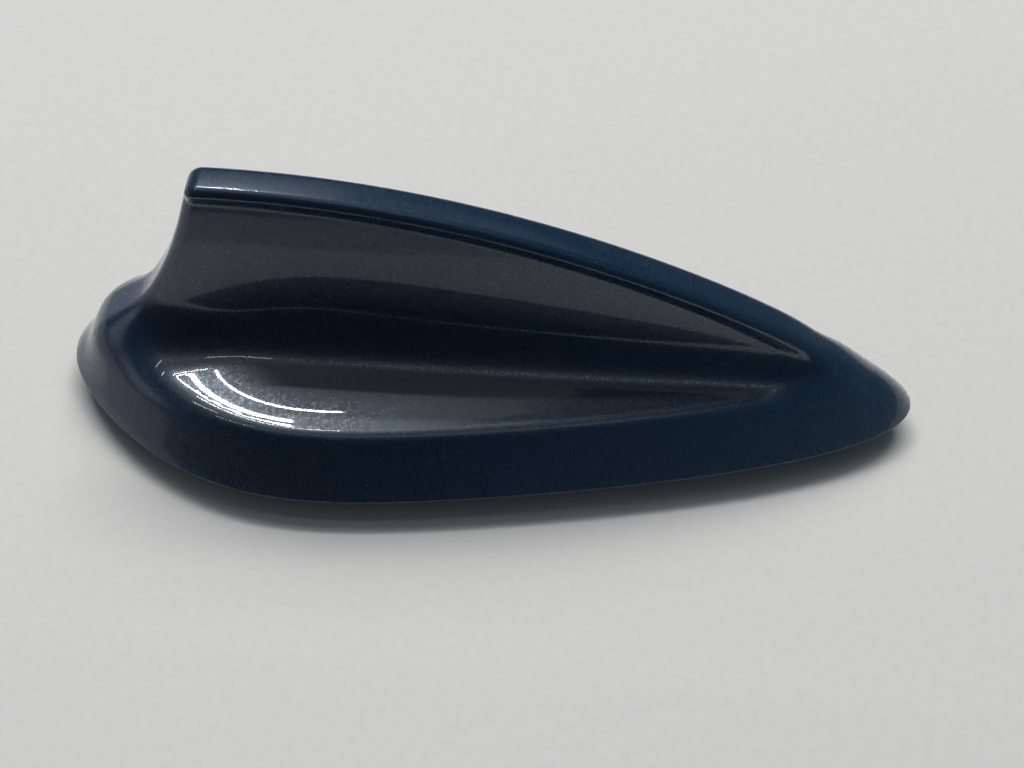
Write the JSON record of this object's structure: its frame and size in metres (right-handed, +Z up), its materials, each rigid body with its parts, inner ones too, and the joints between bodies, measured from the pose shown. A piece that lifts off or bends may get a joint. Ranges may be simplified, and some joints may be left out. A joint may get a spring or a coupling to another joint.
{
  "type": "gps antenna",
  "caption": "Painted fin antenna for a car roof, with a satellite patch, an upright phone board and coaxial sockets on a die-cast base.",
  "frame": {"origin": "centre of the outside box at the underside of the roof boss, the face it stands on", "axes": "+Z up, +X towards the pointed front end, XZ is the plane of symmetry of the hood, the seals and the base"},
  "size_m": [0.1657, 0.066, 0.0567],
  "materials": {
    "cover": "metallic basecoat under gloss clear coat",
    "base_plate": "die-cast, lightly blasted",
    "hood_seal": "matt",
    "roof_seal": "matt",
    "boss_gasket": "closed-cell foam, matt",
    "fixing_bush": "yellow passivated",
    "vent_plug": "matt",
    "cover_screws": "zinc plated",
    "main_board": "solder mask",
    "board_screws": "nickel plated",
    "board_shield": "tinned",
    "board_chips": "moulded",
    "board_caps": "satin",
    "patch_pad": "adhesive foam",
    "gps_patch": "sintered",
    "patch_electrode": "fired silver",
    "patch_pin": "tinned",
    "phone_board": "solder mask",
    "phone_trace": "copper",
    "phone_holder": "moulded",
    "phone_contacts": "gold flash",
    "crush_foam": "open-cell foam",
    "front_element": "tinned",
    "front_carrier": "moulded",
    "gps_socket": "moulded",
    "phone_socket": "moulded",
    "data_socket": "moulded",
    "socket_shells": "nickel flash",
    "socket_cores": "white insulator",
    "socket_pins": "gold flash"
  },
  "bodies": {
    "root": {"cover": "cover", "base_plate": "base_plate", "hood_seal": "hood_seal", "roof_seal": "roof_seal", "boss_gasket": "boss_gasket", "fixing_bush": "fixing_bush", "vent_plug": "vent_plug", "cover_screws": "cover_screws", "main_board": "main_board", "board_screws": "board_screws", "board_shield": "board_shield", "board_chips": "board_chips", "board_caps": "board_caps", "patch_pad": "patch_pad", "gps_patch": "gps_patch", "patch_electrode": "patch_electrode", "patch_pin": "patch_pin", "phone_board": "phone_board", "phone_trace": "phone_trace", "phone_holder": "phone_holder", "phone_contacts": "phone_contacts", "crush_foam": "crush_foam", "front_element": "front_element", "front_carrier": "front_carrier", "gps_socket": "gps_socket", "phone_socket": "phone_socket", "data_socket": "data_socket", "socket_shells": "socket_shells", "socket_cores": "socket_cores", "socket_pins": "socket_pins"}
  },
  "joints": []
}
